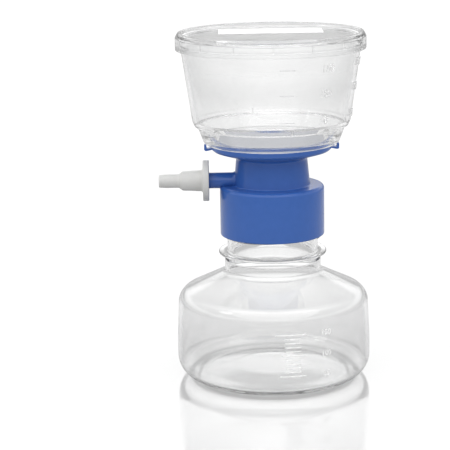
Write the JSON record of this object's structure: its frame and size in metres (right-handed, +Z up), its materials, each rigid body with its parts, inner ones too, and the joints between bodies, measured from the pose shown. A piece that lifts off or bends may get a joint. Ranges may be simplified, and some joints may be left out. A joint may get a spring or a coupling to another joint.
{
  "type": "vacuum filtration unit",
  "caption": "Vacuum filter unit: clear lidded cup over a membrane, blue threaded base with a side arm and hose adaptor, screwed onto a squat clear receiver bottle.",
  "frame": {"origin": "on the bottle's axis, at the plane of the flat ring it stands on", "axes": "+Z up along the bottle's axis; -X along the side arm and hose adaptor, outwards; -Y out of the bottle's graduated face"},
  "size_m": [0.0928, 0.086, 0.1534],
  "materials": {
    "clear_plastic": "clear moulded polystyrene, polished",
    "blue_plastic": "moulded, satin gloss",
    "white_plastic": "moulded, off-white, matt",
    "membrane": "white porous film",
    "fibre_plug": "white fibre",
    "gasket": "translucent white, soft"
  },
  "bodies": {
    "receiver": {"receiver": "clear_plastic"},
    "gasket_ring": {"neck_gasket": "gasket"},
    "filter_head": {"filter_base": "blue_plastic", "upper_chamber": "clear_plastic", "membrane": "membrane", "port_plug": "fibre_plug"},
    "lid": {"lid": "clear_plastic"},
    "hose_adaptor": {"hose_adaptor": "white_plastic"}
  },
  "joints": [
    {"name": "base_rise", "type": "slide", "parent": "receiver", "child": "gasket_ring", "axis": [0, 0, 1], "range_m": [0, 0.006]},
    {"name": "base_unscrew", "type": "hinge", "parent": "gasket_ring", "child": "filter_head", "pos_m": [0, 0, 0.0842], "axis": [0, 0, 1], "range_deg": [0, 540]},
    {"name": "lid_lift", "type": "slide", "parent": "filter_head", "child": "lid", "axis": [0, 0, 1], "range_m": [0, 0.04]},
    {"name": "adaptor_pull", "type": "slide", "parent": "filter_head", "child": "hose_adaptor", "axis": [-1, 0, 0], "range_m": [0, 0.02]}
  ],
  "couplings": [
    {"joint": "base_rise", "follows": "base_unscrew", "m_per_rad": 0.00063662}
  ]
}
